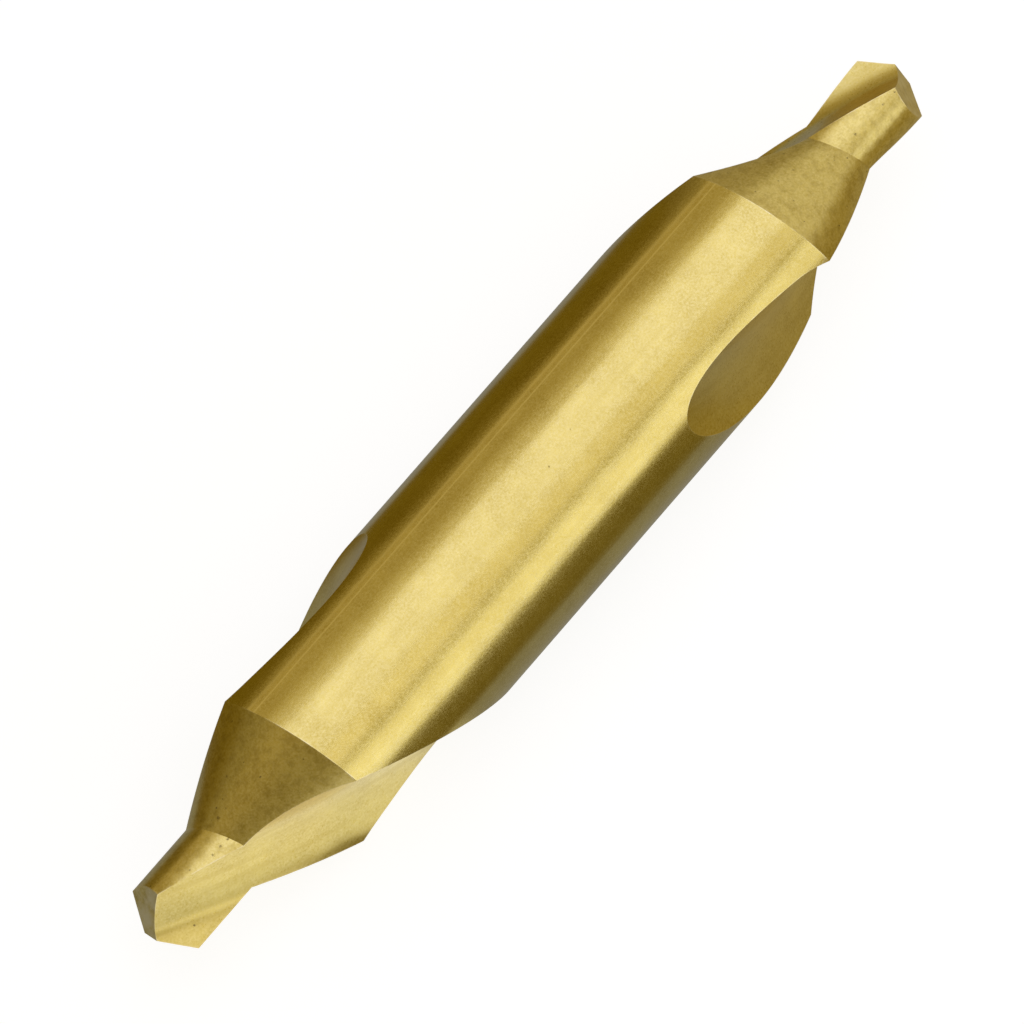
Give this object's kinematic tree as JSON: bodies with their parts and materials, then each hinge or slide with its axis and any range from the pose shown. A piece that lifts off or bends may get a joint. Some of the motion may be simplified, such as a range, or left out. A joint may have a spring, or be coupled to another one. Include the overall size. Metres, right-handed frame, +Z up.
{
  "type": "centre drill",
  "caption": "Double-ended centre drill: a round shank ground at both ends to a short fluted pilot drill and a countersink cone, with a gold hard coating.",
  "frame": {"origin": "middle of the shank, on the drill's axis", "axes": "+X along the drill's axis from one tip to the other, +Z up with the drill lying on its side"},
  "size_m": [0.054, 0.01, 0.01],
  "materials": {
    "coated_steel": "satin gold nitride coating on ground tool steel"
  },
  "bodies": {
    "root": {"centre_drill": "coated_steel"}
  },
  "joints": []
}
